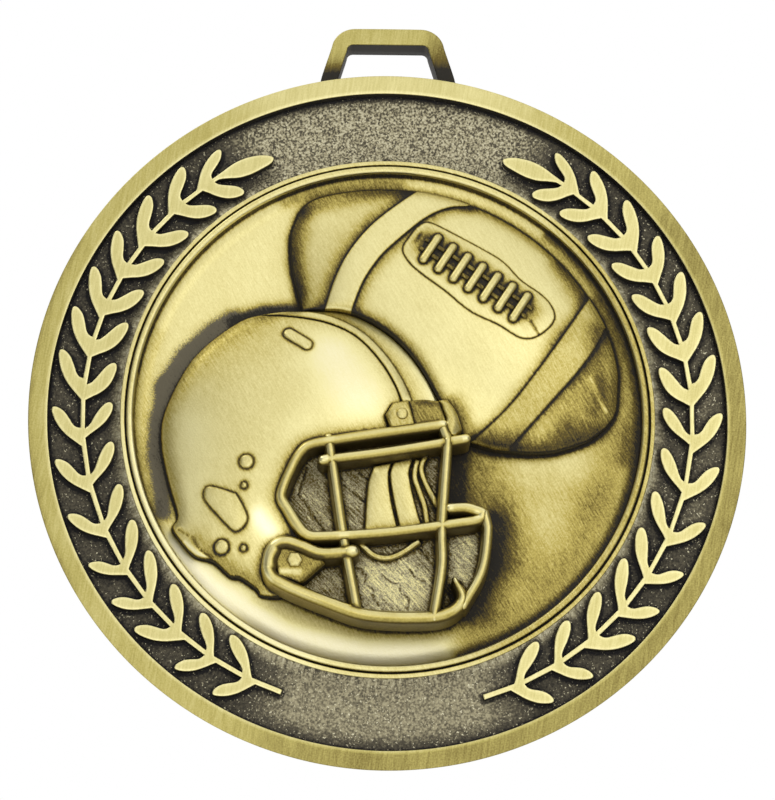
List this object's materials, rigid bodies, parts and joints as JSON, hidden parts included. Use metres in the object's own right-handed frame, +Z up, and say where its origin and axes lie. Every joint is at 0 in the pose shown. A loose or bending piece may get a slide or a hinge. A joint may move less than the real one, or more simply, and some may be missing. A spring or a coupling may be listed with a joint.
{
  "type": "medal",
  "caption": "Round die-cast award medal with a trapezoid ribbon loop, a laurel wreath band and a dished centre with a football and a football helmet in relief.",
  "frame": {"origin": "centre of the disc on its flat back face", "axes": "+Z up through the ribbon loop, -Y out of the relief face, +Y out of the flat back"},
  "size_m": [0.07, 0.0063, 0.0754],
  "materials": {
    "brushed_gold": "antique gold plate, brushed flat",
    "satin_gold": "antique gold plate, satin, darker in the recesses",
    "guard_gold": "antique gold plate, rubbed bright on the crowns",
    "dark_patina": "dark oxide left in the recesses, finely pitted"
  },
  "bodies": {
    "root": {"base_disc": "brushed_gold", "outer_rim": "brushed_gold", "ribbon_loop": "brushed_gold", "wreath_field": "dark_patina", "laurel_right": "brushed_gold", "laurel_left": "brushed_gold", "band_lip": "satin_gold", "dish_bead": "satin_gold", "centre_dish": "satin_gold", "football_body": "satin_gold", "football_stripe_left": "satin_gold", "football_stripe_right": "satin_gold", "lace_panel": "satin_gold", "cross_laces": "satin_gold", "lace_cords": "satin_gold", "helmet_shell": "satin_gold", "helmet_far_side": "satin_gold", "crest_stripe": "satin_gold", "crown_vent": "satin_gold", "ear_boss": "satin_gold", "shell_snaps": "satin_gold", "front_bumper": "satin_gold", "bumper_clips": "satin_gold", "helmet_lining": "dark_patina", "cheek_pads": "satin_gold", "chin_cup": "satin_gold", "guard_loop_wire": "guard_gold", "guard_brow_wire": "guard_gold", "guard_links": "guard_gold", "guard_rear_upright": "guard_gold", "guard_front_upright": "guard_gold", "guard_jaw_wire": "guard_gold", "guard_front_wire": "guard_gold", "jaw_clip": "satin_gold"}
  },
  "joints": []
}
